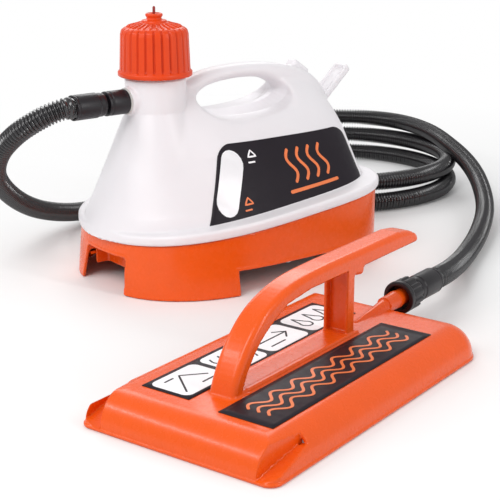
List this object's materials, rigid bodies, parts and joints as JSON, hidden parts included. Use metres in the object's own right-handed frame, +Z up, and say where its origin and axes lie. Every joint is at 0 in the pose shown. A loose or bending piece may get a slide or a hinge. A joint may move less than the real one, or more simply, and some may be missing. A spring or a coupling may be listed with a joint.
{
  "type": "wallpaper steamer",
  "caption": "Kettle-type wallpaper steamer: boiler with carrying handle and screw cap, corrugated steam hose with swivel collars, and a handled steam plate.",
  "frame": {"origin": "on the floor, under the middle of the boiler", "axes": "+X to the boiler's rear, away from the filler neck; +Z up; the label side faces -Y"},
  "size_m": [0.8772, 0.8492, 0.292],
  "materials": {
    "tank_plastic": "translucent blow-moulded polyethylene",
    "orange_plastic": "moulded",
    "steel": "plain",
    "label_dark": "printed film",
    "rubber_black": "matte",
    "ivory_plastic": "plain",
    "wire_brown": "sleeved",
    "wire_blue": "sleeved",
    "wire_green": "sleeved",
    "brass": "plain",
    "black_plastic": "moulded",
    "hose_black": "corrugated",
    "cap_plastic": "moulded",
    "rubber_grey": "matte",
    "pin_red": "satin",
    "label_light": "printed film"
  },
  "bodies": {
    "boiler": {"tank": "tank_plastic", "base_skirt": "orange_plastic", "base_cover": "orange_plastic", "cover_screws": "steel", "tank_screws": "steel", "tank_label": "label_dark", "heating_element": "steel", "element_gasket": "rubber_black", "element_nuts": "steel", "thermal_cutout": "black_plastic", "cutout_screws": "steel", "terminal_block": "ivory_plastic", "live_wire": "wire_brown", "neutral_wire": "wire_blue", "earth_wire": "wire_green", "cable_grommet": "rubber_black", "cable_clamp": "ivory_plastic", "clamp_screws": "steel", "mains_cable": "rubber_black", "plug_body": "black_plastic", "plug_pins": "brass", "outlet_spigot": "black_plastic", "outlet_nut": "black_plastic", "outlet_washer": "rubber_grey", "outlet_sleeve": "black_plastic", "hose": "hose_black"},
    "cap_stage": {"cap_seal": "rubber_grey"},
    "cap": {"cap": "cap_plastic", "valve_seat": "rubber_grey", "valve_spring": "steel"},
    "relief_pin": {"relief_pin": "pin_red"},
    "outlet_collar": {"outlet_collar": "black_plastic"},
    "plate_sleeve": {"plate_sleeve": "black_plastic"},
    "plate_collar": {"plate_collar": "black_plastic"},
    "steam_plate": {"steam_plate": "orange_plastic", "spout_ring": "rubber_black", "badge_label": "label_dark", "guide_label": "label_light"}
  },
  "joints": [
    {"name": "cap_lift", "type": "slide", "parent": "boiler", "child": "cap_stage", "axis": [0, 0, 1], "range_m": [0, 0.0091]},
    {"name": "cap_turn", "type": "hinge", "parent": "cap_stage", "child": "cap", "pos_m": [-0.089, 0, 0.22], "axis": [0, 0, 1], "range_deg": [0, 540]},
    {"name": "relief_lift", "type": "slide", "parent": "cap", "child": "relief_pin", "axis": [0, 0, 1], "range_m": [0, 0.003], "stiffness_N_per_m": 200, "springref_m": -0.001, "deforming": ["valve_spring"]},
    {"name": "outlet_collar_turn", "type": "hinge", "parent": "boiler", "child": "outlet_collar", "pos_m": [-0.14, 0, 0.196], "axis": [1, 0, 0], "continuous": true},
    {"name": "plate_lift", "type": "slide", "parent": "boiler", "child": "plate_sleeve", "axis": [0, 0, 1], "range_m": [0, 0.12], "deforming": ["hose"]},
    {"name": "plate_swivel", "type": "hinge", "parent": "plate_sleeve", "child": "steam_plate", "pos_m": [0.02746, -0.28071, 0.032], "axis": [0.9593, 0.2823, 0], "range_deg": [-90, 90]},
    {"name": "plate_collar_turn", "type": "hinge", "parent": "plate_sleeve", "child": "plate_collar", "pos_m": [0.00827, -0.28636, 0.032], "axis": [0.9593, 0.2823, 0], "continuous": true}
  ],
  "couplings": [
    {"joint": "cap_lift", "follows": "cap_turn", "m_per_rad": 0.00095493}
  ]
}
